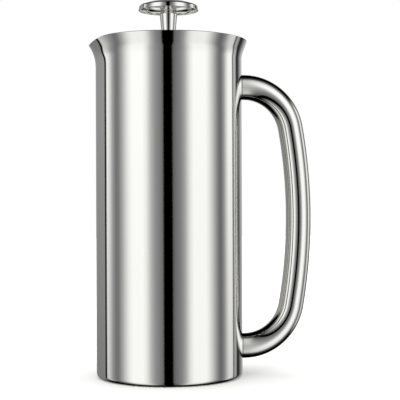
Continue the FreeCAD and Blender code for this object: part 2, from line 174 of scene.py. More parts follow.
def eased(outline, radius, closed=True, steps=5):
    """Each corner that turns more than 20 degrees becomes a parabola between points that lie
    radius (or 45% of the shorter side) before and after it."""
    before, after = np.roll(outline, 1, axis=0) - outline, np.roll(outline, -1, axis=0) - outline
    back = np.linalg.norm(before, axis=1, keepdims=True)
    ahead = np.linalg.norm(after, axis=1, keepdims=True)
    cut = np.minimum(radius, 0.45 * np.minimum(back, ahead))
    straight = -(before * after).sum(axis=1, keepdims=True) / np.maximum(back * ahead, 1e-12)
    corner = straight[:, 0] < math.cos(math.radians(20))
    if not closed:
        corner[[0, -1]] = False
    t = np.linspace(0, 1, steps)[None, :, None]
    start, end = outline + before / back * cut, outline + after / ahead * cut
    curve = (1 - t) ** 2 * start[:, None] + 2 * t * (1 - t) * outline[:, None] + t**2 * end[:, None]
    points = np.where(corner[:, None, None], curve, outline[:, None]).reshape(-1, 2)
    return joined(points)


def spaced(outline, step, closed=True):
    """The same outline with every run longer than step divided evenly."""
    starts = outline if closed else outline[:-1]
    ends = np.roll(outline, -1, axis=0)[: len(starts)]
    parts = np.maximum(1, np.ceil(np.linalg.norm(ends - starts, axis=1) / step)).astype(int)
    place_in_run = np.arange(parts.sum()) - np.repeat(np.cumsum(parts) - parts, parts)
    share = (place_in_run / np.repeat(parts, parts))[:, None]
    points = np.repeat(starts, parts, axis=0) + share * np.repeat(ends - starts, parts, axis=0)
    return points if closed else np.vstack([points, outline[-1]])


def turned(name, outline, closed=True, count=160, sharp=35.0):
    """The outline carried round the axis: (r cos a, r sin a, z) for a from 0 to 360 degrees.
    An open outline starts and ends on the axis."""
    angle = np.linspace(0, 2 * np.pi, count, endpoint=False)
    r, z = outline[:, :1], outline[:, 1:]
    grid = np.stack([r * np.cos(angle), r * np.sin(angle), z + 0 * angle], axis=-1)
    return grid_piece(name, grid, wrap_rows=closed, sharp=sharp)


# %% [markdown]
# ## Finishes
#
# Polished stainless steel has almost no look of its own: it is a mirror with a trace of warm grey,
# and what we see in it is the room. Two things keep it from looking like a chrome ball in a
# computer. Buffing leaves a very fine grain, and drawn sheet is never perfectly true, so long
# reflections waver slightly. Both are made here as bump, and the roughness drifts a little where
# hands and cloths have been. The colour is one value, so it sits on the shader's own socket.


# %% Node helpers
class Finish:
    """A material with short ways to add nodes and links."""

    def __init__(self, name):
        self.material = bpy.data.materials.new(name)
        self.material.use_nodes = True
        self.tree = self.material.node_tree
        self.shader = self.tree.nodes["Principled BSDF"]

    def set(self, **values):
        """Sets sockets of the shader by name, with _ for a space."""
        for key, value in values.items():
            self.shader.inputs[key.replace("_", " ")].default_value = value
        return self

    def add(self, kind, **settings):
        node = self.tree.nodes.new(kind)
        for key, value in settings.items():
            if hasattr(node, key):
                setattr(node, key, value)
            else:
                node.inputs[key.replace("_", " ")].default_value = value
        return node

    def link(self, source, target):
        self.tree.links.new(source, target)
        return target

    def place(self, scale=(1, 1, 1), turned_about_axis=False):
        """Object coordinates in millimetres, or (radius, 0, height) for marks left by a lathe."""
        coordinates = self.add("ShaderNodeTexCoord").outputs["Object"]
        stretch = self.add("ShaderNodeVectorMath", operation="MULTIPLY")
        stretch.inputs[1].default_value = [s / MM for s in scale]
        if turned_about_axis:
            split = self.add("ShaderNodeSeparateXYZ")
            self.link(coordinates, split.inputs[0])
            square = [self.add("ShaderNodeMath", operation="MULTIPLY") for _ in range(2)]
            for node, axis in zip(square, "XY"):
                self.link(split.outputs[axis], node.inputs[0])
                self.link(split.outputs[axis], node.inputs[1])
            total = self.add("ShaderNodeMath", operation="ADD")
            root = self.add("ShaderNodeMath", operation="SQRT")
            self.link(square[0].outputs[0], total.inputs[0])
            self.link(square[1].outputs[0], total.inputs[1])
            self.link(total.outputs[0], root.inputs[0])
            again = self.add("ShaderNodeCombineXYZ")
            self.link(root.outputs[0], again.inputs["X"])
            self.link(split.outputs["Z"], again.inputs["Z"])
            coordinates = again.outputs[0]
        self.link(coordinates, stretch.inputs[0])
        return stretch.outputs[0]

    def noise(self, where, scale=1.0, detail=2.0, rough=0.5):
        node = self.add("ShaderNodeTexNoise", Scale=scale, Detail=detail, Roughness=rough)
        self.link(where, node.inputs["Vector"])
        return node.outputs["Fac"]

    def drift(self, source, low, high, socket):
        """Carries a noise into a socket, spread from low to high."""
        ranged = self.add("ShaderNodeMapRange")
        ranged.inputs["From Min"].default_value = 0.3
        ranged.inputs["From Max"].default_value = 0.7
        ranged.inputs["To Min"].default_value = low
        ranged.inputs["To Max"].default_value = high
        self.link(source, ranged.inputs["Value"])
        self.link(ranged.outputs["Result"], self.shader.inputs[socket])
        return self

    def bump(self, heights, strength, depth=0.1):
        """One bump node per height, chained, then into the shader. depth is in millimetres."""
        normal = None
        for height, share in zip(heights, strength):
            node = self.add("ShaderNodeBump")
            node.inputs["Strength"].default_value = share
            node.inputs["Distance"].default_value = depth * MM
            self.link(height, node.inputs["Height"])
            if normal is not None:
                self.link(normal, node.inputs["Normal"])
            normal = node.outputs["Normal"]
        self.link(normal, self.shader.inputs["Normal"])
        return self


def polished_steel(name, rough=(0.01, 0.035), waver=0.05, grain=0.02, tint=(0.91, 0.906, 0.878)):
    """Mirror steel: slow waver in the sheet, fine buffing grain round the piece, drifting gloss."""
    steel = Finish(name).set(Base_Color=(*tint, 1), Metallic=1.0)
    slow = steel.noise(steel.place(scale=(0.03, 0.03, 0.012)), detail=1.0)
    fine = steel.noise(steel.place(scale=(0.6, 0.6, 7.0)), detail=3.0)
    steel.drift(steel.noise(steel.place(scale=(0.05, 0.05, 0.05)), detail=4.0), *rough, "Roughness")
    steel.bump([slow, fine], [waver, grain], depth=0.4)
    return steel.material


def satin_steel(name, rough=(0.22, 0.34), grain=0.12, tint=(0.74, 0.735, 0.72)):
    """Steel as a lathe or a scouring pad leaves it: rings about the axis, softened reflections."""
    steel = Finish(name).set(Base_Color=(*tint, 1), Metallic=1.0)
    rings = steel.noise(steel.place(scale=(9.0, 1.0, 9.0), turned_about_axis=True), detail=4.0)
    steel.drift(steel.noise(steel.place(scale=(0.08, 0.08, 0.08)), detail=5.0), *rough, "Roughness")
    steel.bump([rings], [grain], depth=0.06)
    return steel.material


SHELL_STEEL = polished_steel("mirror_polished_shell_steel")
HANDLE_STEEL = polished_steel("mirror_polished_tube_steel", rough=(0.02, 0.06), waver=0.03)
KNOB_STEEL = polished_steel("mirror_polished_knob_steel", rough=(0.01, 0.03), waver=0.0, grain=0.01)
LID_STEEL = polished_steel("polished_lid_steel", rough=(0.04, 0.10), waver=0.04, grain=0.05)
ROD_STEEL = polished_steel("ground_rod_steel", rough=(0.06, 0.12), waver=0.0, grain=0.08)
LINER_STEEL = satin_steel("satin_liner_steel")
PLATE_STEEL = satin_steel("satin_plate_steel", rough=(0.18, 0.30), grain=0.06)
CAP_STEEL = satin_steel("turned_cap_steel", rough=(0.16, 0.28), grain=0.16)
print(len(bpy.data.materials), "steel finishes ready")

# %% [markdown]
# The small parts of the lid are moulded. Black polypropylene straight from the mould has a faint
# spark-eroded texture and goes slightly greasy-smooth where it is wiped. The seal is grey
# silicone, which is softer looking: a little light enters it and comes out again nearby. The weld
# beads are polished over, yet keep ripples across the seam.


# %% Moulded, rubber and weld finishes
def moulded(name, tint, rough, grain, texture=2.2):
    """Plastic with the fine texture of its mould, and a gloss that drifts with wiping."""
    plastic = Finish(name).set(Base_Color=(*tint, 1), Specular_IOR_Level=0.45)
    mould = plastic.noise(plastic.place(scale=(texture,) * 3), detail=3.0)
    plastic.drift(plastic.noise(plastic.place(scale=(0.07,) * 3), detail=4.0), *rough, "Roughness")
    plastic.bump([mould], [grain], depth=0.05)
    return plastic.material


BLACK_MOULDING = moulded("black_polypropylene", (0.014, 0.014, 0.015), (0.32, 0.46), 0.35)
BUSH_MOULDING = moulded("black_acetal", (0.02, 0.02, 0.021), (0.22, 0.32), 0.15)
SEAL_SILICONE = moulded("grey_silicone", (0.30, 0.30, 0.31), (0.42, 0.56), 0.25, texture=1.2)
silicone = SEAL_SILICONE.node_tree.nodes["Principled BSDF"]
silicone.inputs["Subsurface Weight"].default_value = 0.25
silicone.inputs["Subsurface Scale"].default_value = 0.8 * MM
SEAL_GLASS = moulded("green_sealing_glass", (0.10, 0.14, 0.12), (0.05, 0.10), 0.05)
GETTER_METAL = satin_steel("sintered_getter_metal", rough=(0.5, 0.7), grain=0.4,
                           tint=(0.2, 0.2, 0.21))
WELD_STEEL = polished_steel("buffed_weld_steel", rough=(0.10, 0.18), waver=0.1, grain=0.12,
                            tint=(0.70, 0.695, 0.68))
SPRING_STEEL = polished_steel("bright_spring_wire", rough=(0.08, 0.14), waver=0.0, grain=0.02)
SCREEN_STEEL = satin_steel("drawn_screen_wire", rough=(0.2, 0.3), grain=0.02,
                           tint=(0.72, 0.715, 0.70))
print(len(bpy.data.materials), "finishes in all")

# %% [markdown]
# ## The wall of the pot
#
# The pot is a drawn cylinder whose top is rolled outwards, first in an arc and then in a short
# cone. On one side the same rim is pulled further out into a pouring lip. Cutting and stretching a
# plain rim would leave a crease where the lip begins, so the wall is one formula: the plain
# radius at a height, plus a share of the difference to the lip's own radius. The share is 1 in the
# middle of the lip and sinks to 0 with the cube of (1 - q squared), q being the angle from the
# middle over the lip's half angle, which leaves no edge to see.

# %% Formula of the wall
FLARE_HEIGHT, FLARE_BEND, FLARE_ANGLE = 14.5, 19.0, math.radians(21.0)
LIP_HEIGHT, LIP_BEND, LIP_HALF_ANGLE, LIP_DIP = 20.0, 28.0, 36.0, 3.2
LIP_START = RIM - LIP_HEIGHT
HAIR = 0.01


def flare_radius(z):
    """Straight, then R + b - sqrt(b^2 - d^2) over the bend, then a cone; d is the rise so far."""
    rise = np.clip(z - (RIM - FLARE_HEIGHT), 0, None)
    turn = FLARE_BEND * math.sin(FLARE_ANGLE)
    bend = FLARE_BEND - np.sqrt(FLARE_BEND**2 - np.minimum(rise, turn) ** 2)
    return SHELL + bend + np.clip(rise - turn, 0, None) * math.tan(FLARE_ANGLE)


def lip_radius(z):
    """Down the middle of the lip: one arc that starts upright."""
    rise = np.clip(z - LIP_START, 0, LIP_BEND)
    return SHELL + LIP_BEND - np.sqrt(LIP_BEND**2 - rise**2)


def lip_share(degrees):
    """(1 - q^2)^3 with q the angle from the lip's middle over its half angle, and 0 beyond."""
    q = np.abs(degrees - 180.0) / LIP_HALF_ANGLE
    return np.clip(1 - q * q, 0, None) ** 3


def wall_radius(degrees, z, inset=0.0):
    """Radius of the wall, taken in by inset along its normal: r - inset sqrt(1 + slope^2)."""
    outer = [flare_radius(h) + lip_share(degrees) * (lip_radius(h) - flare_radius(h))
             for h in (z - HAIR, z, z + HAIR)]
    slope = (outer[2] - outer[0]) / (2 * HAIR)
    return outer[1] - inset * np.sqrt(1 + slope**2)


def rim_height(degrees):
    """Level, but dipping along the lip."""
    return RIM - LIP_DIP * lip_share(degrees)


print(f"rim radius {flare_radius(np.array(RIM)):.2f} mm, "
      f"lip reaches {wall_radius(np.array(180.0), rim_height(np.array(180.0))):.2f} mm")

# %% [markdown]
# ## Outer shell
#
# The shell's profile climbs from the foot flange round a small radius, up the long wall, through
# the flare, over the rounded edge, and back down the hidden side. The collar rows follow the wall
# formula, so each column has its own heights. The rim edge is a quarter circle over the shell's
# half of the doubled sheet; the liner brings the other half, and the two meet in a seamless round
# edge, as a buffed rim does.

# %% Build the shell and the liner's collar rows
WALL_ANGLES = np.linspace(0, 360, 288, endpoint=False)
NEAR_RIM, EDGE_SQUARENESS, FOOT_EASE = 0.1, 0.3, 0.25
rim_middle = rim_height(WALL_ANGLES) - SHEET
rim_tilt = np.arctan((wall_radius(WALL_ANGLES, rim_middle + NEAR_RIM)
                      - wall_radius(WALL_ANGLES, rim_middle - NEAR_RIM)) / (2 * NEAR_RIM))


def on_wall(radius, height):
    """Points from radius and height arrays of shape (rows, columns)."""
    turn = np.radians(WALL_ANGLES)
    return np.stack([radius * np.cos(turn), radius * np.sin(turn), height + 0 * turn], axis=-1)


def straight_rows(outline):
    """An outline that is the same all round, as rows of the wall's grid."""
    return on_wall(outline[:, :1], outline[:, 1:])


def collar_rows(inset, share):
    """The wall from the lip's start to just under the rim's rounded edge, at shares 0 to 1."""
    top = rim_middle + (inset - SHEET) * np.sin(rim_tilt)
    height = LIP_START + share[:, None] * (top - LIP_START)
    return on_wall(wall_radius(WALL_ANGLES, height, inset), height)


def rim_edge_rows(start, end, steps=13):
    """A squared circle one sheet in radius about the joint of the two sheets, from one angle to
    another. Cosine and sine are raised to a power below 1, which leaves small round corners."""
    centre = wall_radius(WALL_ANGLES, rim_middle, SHEET)
    turn = np.radians(np.linspace(start, end, steps))[:, None]
    out, up = (SHEET * np.sign(wave) * np.abs(wave) ** EDGE_SQUARENESS
               for wave in (np.cos(turn), np.sin(turn)))
    return on_wall(centre + out * np.cos(rim_tilt) + up * np.sin(rim_tilt),
                   rim_middle - out * np.sin(rim_tilt) + up * np.cos(rim_tilt))


foot_centre, foot_inner = (SHELL - FOOT, FOOT), SHELL - 2 * FOOT
outside = joined((foot_inner, FOOT_EASE), (foot_inner + FOOT_EASE, 0),
                 arc(foot_centre, FOOT, -90, 0, 5), (SHELL, LIP_START))
inside = joined((SHELL - SHEET, LIP_START), arc(foot_centre, FOOT - SHEET, 0, -90, 10),
                (foot_inner, SHEET))
climb = np.linspace(0, 1, 37)
shell_grid = np.concatenate([
    straight_rows(spaced(outside, 4.0, closed=False)[:-1]),
    collar_rows(0.0, climb),
    rim_edge_rows(0, 90)[1:],
    collar_rows(SHEET, climb[::-3][1:-1]),
    straight_rows(spaced(inside, 25.0, closed=False)),
])
outer_shell = grid_piece("shell_surface", shell_grid, wrap_rows=True)
outer_shell.data.materials.append(SHELL_STEEL)
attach(outer_shell, "pot")
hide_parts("outer_shell")

# %% [markdown]
# ## Inner liner
#
# The liner is the flask that holds the coffee. Under the flare it steps in by the width of the
# vacuum gap, through two opposite bends, and it ends in a rounded floor. It is bright inside but
# only satin, because a mandrel and a brush finish it, and a mirror there would show every scratch
# of the filter's spring. The outline starts on the axis under the floor, goes out and up the hidden
# side, over the rim, and comes back down to the axis.

# %% Build the liner
JOGGLE_ANGLE = 70.0
NECK = SHELL - 2 * SHEET
joggle = (NECK - BORE) / (2 * (1 - math.cos(math.radians(JOGGLE_ANGLE))))
upper_bend = (NECK - joggle, LIP_START)
lower_bend = (BORE + joggle, LIP_START - 2 * joggle * math.sin(math.radians(JOGGLE_ANGLE)))
FLOOR_BEND = 8.0
floor_bend = (BORE - FLOOR_BEND, FLOOR + FLOOR_BEND)
hidden_side = joined((0, FLOOR - SHEET), arc(floor_bend, FLOOR_BEND + SHEET, -90, 0, 10),
                     arc(lower_bend, joggle - SHEET, 180, 180 - JOGGLE_ANGLE, 10),
                     arc(upper_bend, joggle + SHEET, -JOGGLE_ANGLE, 0, 10))
bright_side = joined(arc(upper_bend, joggle, 0, -JOGGLE_ANGLE, 4),
                     arc(lower_bend, joggle, 180 - JOGGLE_ANGLE, 180, 4),
                     arc(floor_bend, FLOOR_BEND, 0, -90, 4), (0, FLOOR))
liner_grid = np.concatenate([
    straight_rows(spaced(hidden_side, 25.0, closed=False)),
    collar_rows(SHEET, climb[3:-3:3]),
    rim_edge_rows(90, 180)[:-1],
    collar_rows(2 * SHEET, climb[::-1][:-1]),
    straight_rows(spaced(bright_side, 4.0, closed=False)),
])
inner_liner = grid_piece("liner_surface", liner_grid)
inner_liner.data.materials.append(LINER_STEEL)
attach(inner_liner, "pot")
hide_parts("inner_liner")

# %% [markdown]
# ## Handle
#
# The handle is a steel tube bent in a capital D: level out of the wall, a bend, a long grip with a
# gentle bow, a tighter bend back and level into the wall. All of it lies in one plane, so the path
# needs only arcs that share their tangents, and the tube is a circle carried square to that path.
# The ends are saddle-shaped, because a plane cut would leave a gap against the round wall: there
# each point of the end ring is slid along X onto a cylinder just outside the shell.

# %% Build the handle tube
TUBE = edge("handle_tube", 1, Y)
TUBE_WALL = 1.2
WELD_WIDTH = 1.1
REACH = edge("handle_tube", 1, X) - TUBE
TOP, BOTTOM = edge("handle_tube", 1, Z) - TUBE, edge("handle_tube", 0, Z) + TUBE
GRIP_HEIGHT = (TOP + BOTTOM) / 2
GRIP_BOW, END_BEND = 375.0, 36.4


def end_bend(height, side):
    """Centre of an end bend tangent to the level run and the bow, and where it meets the bow.
    The two centres are apart by the difference of the radii."""
    z = height - side * END_BEND
    x = REACH - GRIP_BOW + math.sqrt((GRIP_BOW - END_BEND) ** 2 - (z - GRIP_HEIGHT) ** 2)
    return (x, z), math.degrees(math.asin((z - GRIP_HEIGHT) / (GRIP_BOW - END_BEND)))


top_centre, top_turn = end_bend(TOP, 1)
low_centre, low_turn = end_bend(BOTTOM, -1)
handle_line = spaced(joined((SHELL, TOP), arc(top_centre, END_BEND, 90, top_turn, 2.0),
                            arc((REACH - GRIP_BOW, GRIP_HEIGHT), GRIP_BOW, top_turn, low_turn, 0.5),
                            arc(low_centre, END_BEND, low_turn, -90, 2.0), (SHELL, BOTTOM)),
                     2.5, closed=False)


def along_handle(line, radius, count=80):
    """Rings square to the line: C + radius (cos a N + sin a Y), N the normal in the handle's
    plane. Rings that would run into the wall slide along X to the weld's outer face."""
    tangent = np.gradient(line, axis=0)
    tangent /= np.linalg.norm(tangent, axis=1, keepdims=True)
    normal = np.column_stack([-tangent[:, 1], tangent[:, 0]])
    turn = np.linspace(0, 2 * np.pi, count, endpoint=False)
    x = line[:, :1] + radius * np.cos(turn) * normal[:, :1]
    y = radius * np.sin(turn) + 0 * line[:, :1]
    z = line[:, 1:] + radius * np.cos(turn) * normal[:, 1:]
    face = np.sqrt((SHELL + WELD_WIDTH) ** 2 - y**2)
    ends = [0, -1]
    x[ends] = face[ends]
    return np.stack([np.maximum(x, face), y, z], axis=-1)


handle_grid = np.concatenate([along_handle(handle_line, TUBE),
                              along_handle(handle_line[::-1][::3], TUBE - TUBE_WALL)])
handle = grid_piece("handle_surface", handle_grid, wrap_rows=True)
handle.data.materials.append(HANDLE_STEEL)
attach(handle, "pot")
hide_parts("handle_tube")

# %% [markdown]
# ## Weld beads
#
# Each end of the tube is welded all round and buffed, which leaves a narrow waisted ring between
# tube and shell. It is a small oval section carried round the tube, lying on the cylinder of the
# wall: the section's two axes are the distance from the tube's axis and the distance from the
# pot's axis.


# %% Build the welds
BEAD_OVERLAP, BEAD_PINCH = 0.12, 0.22


def weld_bead(name, node, height):
    """Ring at distance p from the tube's axis and R from the pot's: y = p cos a, z = h + p sin a,
    x = sqrt(R^2 - y^2). p and R go round an oval, pinched on its outer side like buffed weld."""
    turn = np.linspace(0, 2 * np.pi, 120, endpoint=False)
    section = np.linspace(0, 2 * np.pi, 24, endpoint=False)[:, None]
    across = (TUBE_WALL / 2 + BEAD_OVERLAP) * np.cos(section)
    pinch = BEAD_PINCH * np.clip(np.cos(section), 0, None) ** 6
    distance = TUBE - TUBE_WALL / 2 + across - pinch
    around_pot = SHELL + WELD_WIDTH / 2 + (WELD_WIDTH / 2) * np.sin(section)
    y = distance * np.cos(turn)
    z = height + distance * np.sin(turn)
    x = np.sqrt(around_pot**2 - y**2)
    bead = grid_piece(name, np.stack([x, y, z], axis=-1), wrap_rows=True)
    bead.data.materials.append(WELD_STEEL)
    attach(bead, "pot")
    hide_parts(node)


weld_bead("upper_weld_bead", "upper_handle_weld", TOP)
weld_bead("lower_weld_bead", "lower_handle_weld", BOTTOM)

# %% [markdown]
# ## Base
#
# Under the pot the shell turns in to a flat foot, and a thin cap with a raised middle hides the
# vacuum bottom. Nobody looks at it often, but it is turned on a lathe, and the fine rings catch
# light when the pot is tipped for washing. The plates inside the vacuum are never seen; their CAD
# nodes stay and only get a finish.


# %% Build the base cap and dress the hidden nodes
def dress(node, finish):
    """Gives a CAD node's object its finish, and leaves its mesh as it is."""
    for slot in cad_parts[node].material_slots:
        slot.link = "OBJECT"
        slot.material = finish


CAP_BORDER, CAP_SLOPE = 16.5, 5.0
cap_edge, cap_raised = SHELL - FOOT, foot_inner - CAP_BORDER
cap_fall = cap_raised + CAP_SLOPE
cap_line = joined((0, 2 * SHEET), (cap_raised, 2 * SHEET), (cap_fall, SHEET), (cap_edge, SHEET),
                  (cap_edge, 2 * SHEET), (cap_fall, 2 * SHEET), (cap_raised, 3 * SHEET),
                  (0, 3 * SHEET))
cap_line = eased(cap_line, 1.2, closed=False)
cap_line[:, 1] += edge("base_cap", 0, Z) - SHEET
base_cap = turned("base_cap_surface", spaced(cap_line, 4.0, closed=False), closed=False)
base_cap.data.materials.append(CAP_STEEL)
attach(base_cap, "pot")
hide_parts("base_cap")
dress("vacuum_bottom", LINER_STEEL)
dress("seal_bead", SEAL_GLASS)
dress("getter", GETTER_METAL)

# %% [markdown]
# ## Lid
#
# The lid is three things: a domed steel cover with a rolled edge, a black moulding under it whose
# skirt centres the lid in the bore, and a silicone ring in a groove of the skirt. Coffee leaves
# through a comb of slots in the skirt, on the side of the lip. The cover is a turned outline like
# the others: a flat land for the bush, a shallow dome, and a quick bend down.

# %% Build the lid cover
COVER_EDGE = edge("lid_cover", 1, X)
COVER_LOW, COVER_TOP = edge("lid_cover", 0, Z), edge("lid_cover", 1, Z)
LAND, DOME, EDGE_BEND, EDGE_DROP = 10.0, 143.0, 1.5, 1.5
BUSH = edge("guide_bush", 0, Z), edge("guide_bush", 1, Z)
RUNNING_GAP, BUSH_WALL = 0.08, 2.3
BUSH_BORE = ROD + RUNNING_GAP
BUSH_BODY = BUSH_BORE + BUSH_WALL
LID_HOLE = BUSH_BODY + RUNNING_GAP
dome_turn = 90 - math.degrees(math.asin((COVER_EDGE - EDGE_BEND - LAND) / (DOME - EDGE_BEND)))
dome_centre = (LAND, COVER_TOP - DOME)
edge_centre = (COVER_EDGE - EDGE_BEND, COVER_LOW + EDGE_DROP)
cover_line = joined((LID_HOLE, COVER_TOP - SHEET),
                    arc(dome_centre, DOME - SHEET, 90, dome_turn, 1.0),
                    arc(edge_centre, EDGE_BEND - SHEET, dome_turn, 0, 12),
                    (COVER_EDGE - SHEET, COVER_LOW), (COVER_EDGE, COVER_LOW),
                    arc(edge_centre, EDGE_BEND, 0, dome_turn, 8),
                    arc(dome_centre, DOME, dome_turn, 90, 1.0), (LID_HOLE, COVER_TOP))
lid_cover = turned("lid_cover_surface", spaced(eased(cover_line, 0.25), 3.0), count=224)
lid_cover.data.materials.append(LID_STEEL)
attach(lid_cover, "lid")
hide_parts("lid_cover")

# %% [markdown]
# The moulding is also turned, but it needs its comb of slots. Cutting them with a boolean works,
# yet leaves long thin triangles that shade badly. Instead the columns of the grid are set at the
# edges of the slots, so each slot is exactly one quad on the outer face and one on the inner face.
# Those quads are left out, and four narrow quads round each hole join the two faces.

# %% Build the lid moulding
SKIRT_GAP, SKIRT_WALL, MOULDING, BOSS = 0.9, 1.6, 1.8, 9.0
SKIRT = BORE - SKIRT_GAP
SKIRT_LOW = edge("lid_liner", 0, Z)
PLATE_EDGE = edge("lid_liner", 1, X)
SLOTS, SLOT_PITCH, SLOT_WIDTH, SLOT_HEIGHT, SLOT_BRIDGE = 11, 6.0, 2.2, 7.0, 2.0
GROOVE_START, GROOVE_END, GROOVE_DEPTH = 3.0, 9.0, 0.7
slot_top = COVER_LOW - MOULDING - SLOT_BRIDGE
slot_low = slot_top - SLOT_HEIGHT
GROOVE = SKIRT_LOW + GROOVE_START, SKIRT_LOW + GROOVE_END
groove_floor = SKIRT - GROOVE_DEPTH
skirt_inner = SKIRT - SKIRT_WALL
moulding_line = eased(joined(
    (skirt_inner, SKIRT_LOW), (SKIRT, SKIRT_LOW), (SKIRT, GROOVE[0]), (groove_floor, GROOVE[0]),
    (groove_floor, GROOVE[1]), (SKIRT, GROOVE[1]), (SKIRT, slot_low), (SKIRT, slot_top),
    (SKIRT, COVER_LOW), (PLATE_EDGE, COVER_LOW), (PLATE_EDGE, COVER_LOW + MOULDING),
    (BOSS, COVER_LOW + MOULDING), (BOSS, COVER_TOP - SHEET), (LID_HOLE, COVER_TOP - SHEET),
    (LID_HOLE, COVER_LOW - MOULDING), (skirt_inner, COVER_LOW - MOULDING),
    (skirt_inner, slot_top), (skirt_inner, slot_low)), 0.3)
half_slot = math.degrees(math.asin(SLOT_WIDTH / 2 / SKIRT))
slot_middle = 180 + SLOT_PITCH * (np.arange(SLOTS) - (SLOTS - 1) / 2)
slot_edges = np.sort(np.concatenate([slot_middle - half_slot, slot_middle + half_slot]))
plain = np.linspace(slot_edges[-1], slot_edges[0] + 360, 150)[1:-1] % 360
turns = np.radians(np.sort(np.concatenate([slot_edges, plain])))
radius, height = moulding_line[:, :1], moulding_line[:, 1:]
moulding_grid = np.stack([radius * np.cos(turns), radius * np.sin(turns), height + 0 * turns],
                         axis=-1)
rows, cols = moulding_grid.shape[:2]


def row_at(r, z):
    """The row of the outline at a radius and height."""
    return int(np.argmin(np.hypot(moulding_line[:, 0] - r, moulding_line[:, 1] - z)))


left = np.searchsorted(turns, np.radians(slot_middle - half_slot) - 1e-9)
out_low, out_top = row_at(SKIRT, slot_low), row_at(SKIRT, slot_top)
in_top, in_low = row_at(skirt_inner, slot_top), row_at(skirt_inner, slot_low)
faces = grid_faces(rows, cols, True, True)
opened = np.concatenate([out_low * cols + left, in_top * cols + left])
faces = np.delete(faces, opened, axis=0)
ring = [row * cols + left + step for row, step in
        ((out_low, 0), (out_low, 1), (out_top, 1), (out_top, 0))]
ring_in = [row * cols + left + step for row, step in
           ((in_low, 0), (in_low, 1), (in_top, 1), (in_top, 0))]
sides = [np.column_stack([ring[k], ring[(k + 1) % 4], ring_in[(k + 1) % 4], ring_in[k]])
         for k in range(4)]
moulding = make_piece("lid_moulding_surface", moulding_grid.reshape(-1, 3),
                      [np.vstack([faces, *sides])])
moulding.data.materials.append(BLACK_MOULDING)
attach(moulding, "lid")
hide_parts("lid_liner")

# %% [markdown]
# The seal has two soft lips that wipe the bore. Silicone lips are never sharp, so the outline is
# eased more than the others. The guide bush and its nut are black acetal: a flange with a rounded
# shoulder above the lid, and a plain hexagon below. A hexagon can be turned too, if the radius is
# allowed to depend on the angle: across flats over two, divided by the cosine of the angle from
# the middle of the nearest flat. A chamfer then limits that radius near the ends.

# %% Build the seal, the bush and the nuts
seal_low, seal_high = edge("lid_gasket", 0, Z), edge("lid_gasket", 1, Z)
seal_crest = edge("lid_gasket", 1, X)
SEAL_LIP, SEAL_GAP = 0.5, 0.3
seal_root, seal_inner = seal_crest - SEAL_LIP, groove_floor + SEAL_GAP
seal_step = (seal_high - seal_low) / 4
seal_line = eased(joined((seal_inner, seal_low), (seal_root, seal_low),
                         (seal_crest, seal_low + seal_step),
                         (seal_root, seal_low + 2 * seal_step),
                         (seal_crest, seal_low + 3 * seal_step),
                         (seal_root, seal_high), (seal_inner, seal_high)), 0.35, steps=6)
seal = turned("lid_seal_surface", seal_line, count=224, sharp=60)
seal.data.materials.append(SEAL_SILICONE)
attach(seal, "lid_seal")
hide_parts("lid_gasket")

FLANGE, FLANGE_HEIGHT, FLANGE_CHAMFER = 8.0, 1.2, 0.6
flange_low = BUSH[1] - FLANGE_HEIGHT
bush_line = eased(joined((BUSH_BORE, BUSH[0]), (BUSH_BODY, BUSH[0]), (BUSH_BODY, flange_low),
                         (FLANGE, flange_low), (FLANGE, BUSH[1] - FLANGE_CHAMFER),
                         (FLANGE - FLANGE_CHAMFER, BUSH[1]), (BUSH_BORE, BUSH[1])), 0.4)
bush = turned("guide_bush_surface", spaced(bush_line, 2.5), count=96)
bush.data.materials.append(BUSH_MOULDING)
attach(bush, "rod_guide")
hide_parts("guide_bush")


def hexagon_nut(name, node, across_flats, bore, finish, chamfer=0.8):
    """Radius = min(half the flats / cos(angle off the flat), chamfer circle), rows over the
    nut's height, then back through the bore."""
    low, high = edge(node, 0, Z), edge(node, 1, Z)
    turn = np.linspace(0, 2 * np.pi, 144, endpoint=False)
    flat = across_flats / 2 / np.cos((turn % (np.pi / 3)) - np.pi / 6)
    corner = across_flats / math.sqrt(3)
    fall = np.array([0.0, 0.5, 1.0, 1.0, 0.5, 0.0]) * chamfer
    heights = np.array([low, low + chamfer * 0.25, low + chamfer * 0.5,
                        high - chamfer * 0.5, high - chamfer * 0.25, high])
    outside = np.minimum(flat, (corner - chamfer + fall)[:, None])
    radii = np.vstack([outside, np.full((2, len(turn)), bore)])
    levels = np.concatenate([heights, [high, low]])[:, None]
    grid = np.stack([radii * np.cos(turn), radii * np.sin(turn), levels + 0 * turn], axis=-1)
    nut = grid_piece(name, grid, wrap_rows=True, sharp=25)
    nut.data.materials.append(finish)
    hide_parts(node)
    return nut


BUSH_NUT_FLATS, HUB_NUT_FLATS, TIP = 15.0, 12.0, 2.5
bush_nut = hexagon_nut("bush_nut_surface", "bush_nut", BUSH_NUT_FLATS, BUSH_BODY, BUSH_MOULDING)
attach(bush_nut, "rod_guide")
hub_nut = hexagon_nut("hub_nut_surface", "hub_nut", HUB_NUT_FLATS, TIP, PLATE_STEEL)
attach(hub_nut, "plunger")

# %% [markdown]
# ## Knob
#
# The palm presses on a crowned disc. Its edge is a narrow band that leans in a little and rolls
# over into the crown. The underside is hollow with a thin lip, so that fingertips can lift it,
# and a small domed boss in the middle carries it on a tapered neck. Everything is turned and
# polished, and because a mirror shows each flaw in a curve, the crown is a true arc:
# radius = (half width squared + rise squared) / (2 rise).

